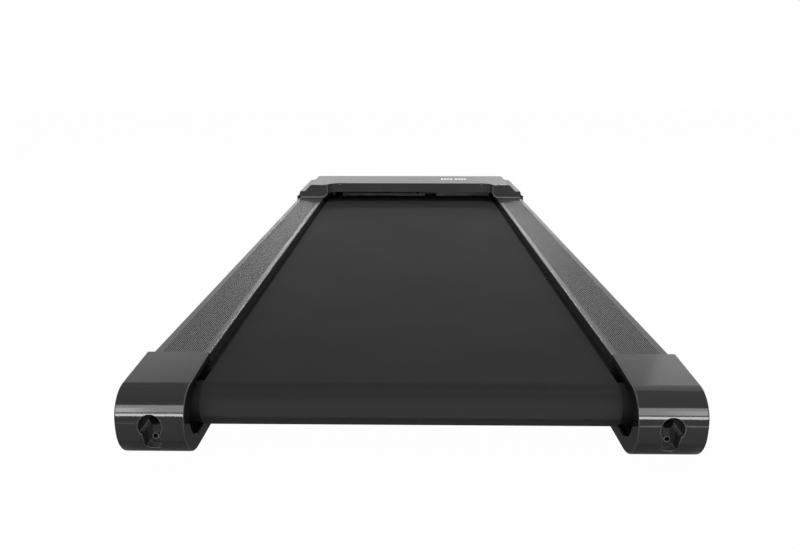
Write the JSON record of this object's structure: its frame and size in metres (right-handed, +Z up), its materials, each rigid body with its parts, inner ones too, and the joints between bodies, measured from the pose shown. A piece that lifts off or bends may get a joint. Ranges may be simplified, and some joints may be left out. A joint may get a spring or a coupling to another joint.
{
  "type": "walking pad",
  "caption": "Flat under-desk walking pad: running belt between ribbed foot rails, moulded rear corner caps with adjuster recesses, low winged motor cover at the front.",
  "frame": {"origin": "middle of the bounding box at floor level, under the feet", "axes": "+Z up, +Y along the belt from the rear caps to the motor cover, +X to the right seen from the rear"},
  "size_m": [0.52, 1.25, 0.105],
  "materials": {
    "frame_steel": "satin black powder coat",
    "zinc_steel": "bright zinc plate",
    "dark_steel": "dark machined steel",
    "member_grey": "grey powder coat",
    "black_oxide": "black oxide",
    "roller_black": "black paint",
    "deck_wood": "black laminated fibreboard",
    "belt_fabric": "fine diamond-grained belt",
    "tread_rubber": "matt ribbed strip",
    "black_rubber": "matt",
    "rail_grey": "satin dark grey",
    "cap_grey": "satin dark grey",
    "cover_grey": "satin dark grey",
    "tray_black": "fine grained black",
    "button_red": "gloss",
    "board_green": "solder mask",
    "sink_aluminium": "extruded"
  },
  "bodies": {
    "frame": {"side_beam_left": "frame_steel", "side_beam_right": "frame_steel", "end_plates": "frame_steel", "cross_tubes": "frame_steel", "front_crossmember": "member_grey", "deck_board": "deck_wood", "deck_cushions": "black_rubber", "deck_screws": "black_oxide", "running_belt": "belt_fabric", "side_rail_left": "rail_grey", "side_rail_right": "rail_grey", "tread_strip_left": "tread_rubber", "tread_strip_right": "tread_rubber", "rear_cap_left": "cap_grey", "rear_cap_right": "cap_grey", "rear_cap_screws": "black_oxide", "adjuster_washers": "zinc_steel", "motor_cover": "cover_grey", "base_tray": "tray_black", "cover_screws": "zinc_steel", "tray_screws": "zinc_steel", "rubber_feet": "black_rubber", "front_shaft": "zinc_steel", "front_shaft_bolts": "zinc_steel", "drive_belt": "black_rubber", "motor_housing": "frame_steel", "motor_bracket": "frame_steel", "motor_bolts": "zinc_steel", "controller_board": "board_green", "heat_sink": "sink_aluminium", "receiver_board": "board_green", "inlet_socket": "tray_black", "switch_housing": "tray_black", "breaker_body": "tray_black", "wheel_axles": "zinc_steel"},
    "front_roller": {"front_roller_tube": "roller_black", "front_roller_bearings": "dark_steel", "drive_pulley": "dark_steel"},
    "rear_axle": {"rear_shaft": "zinc_steel"},
    "rear_roller": {"rear_roller_tube": "roller_black", "rear_roller_bearings": "dark_steel"},
    "motor_rotor": {"motor_rotor": "dark_steel", "motor_pulley": "dark_steel", "cooling_fan": "tray_black"},
    "adjuster_left": {"adjuster_bolt_left": "black_oxide"},
    "adjuster_right": {"adjuster_bolt_right": "black_oxide"},
    "wheel_left": {"transport_wheel_left": "tray_black"},
    "wheel_right": {"transport_wheel_right": "tray_black"},
    "power_rocker": {"rocker_button": "tray_black"},
    "breaker_reset": {"reset_button": "button_red"}
  },
  "joints": [
    {"name": "front_roller_spin", "type": "hinge", "parent": "frame", "child": "front_roller", "pos_m": [0, 0.525, 0.0419], "axis": [1, 0, 0], "continuous": true},
    {"name": "rear_tension", "type": "slide", "parent": "frame", "child": "rear_axle", "axis": [0, 1, 0], "range_m": [0, 0.008]},
    {"name": "rear_roller_spin", "type": "hinge", "parent": "rear_axle", "child": "rear_roller", "pos_m": [0, -0.5728, 0.0419], "axis": [1, 0, 0], "continuous": true},
    {"name": "motor_spin", "type": "hinge", "parent": "frame", "child": "motor_rotor", "pos_m": [-0.1, 0.591, 0.046], "axis": [1, 0, 0], "continuous": true},
    {"name": "adjuster_left_turn", "type": "hinge", "parent": "frame", "child": "adjuster_left", "pos_m": [-0.2289, -0.605, 0.0419], "axis": [0, -1, 0], "range_deg": [0, 2310]},
    {"name": "adjuster_right_turn", "type": "hinge", "parent": "frame", "child": "adjuster_right", "pos_m": [0.2289, -0.605, 0.0419], "axis": [0, -1, 0], "range_deg": [0, 2310]},
    {"name": "wheel_left_spin", "type": "hinge", "parent": "frame", "child": "wheel_left", "pos_m": [-0.229, 0.597, 0.0235], "axis": [1, 0, 0], "continuous": true},
    {"name": "wheel_right_spin", "type": "hinge", "parent": "frame", "child": "wheel_right", "pos_m": [0.229, 0.597, 0.0235], "axis": [1, 0, 0], "continuous": true},
    {"name": "power_rocker_tilt", "type": "hinge", "parent": "frame", "child": "power_rocker", "pos_m": [0.125, 0.615, 0.044], "axis": [1, 0, 0], "range_deg": [0, 16]},
    {"name": "breaker_reset_pop", "type": "slide", "parent": "frame", "child": "breaker_reset", "axis": [0, 1, 0], "range_m": [0, 0.004]}
  ],
  "couplings": [
    {"joint": "rear_roller_spin", "follows": "front_roller_spin", "ratio": 1},
    {"joint": "motor_spin", "follows": "front_roller_spin", "ratio": 3},
    {"joint": "adjuster_left_turn", "follows": "rear_tension", "rad_per_m": 5026.5},
    {"joint": "adjuster_right_turn", "follows": "rear_tension", "rad_per_m": 5026.5}
  ]
}
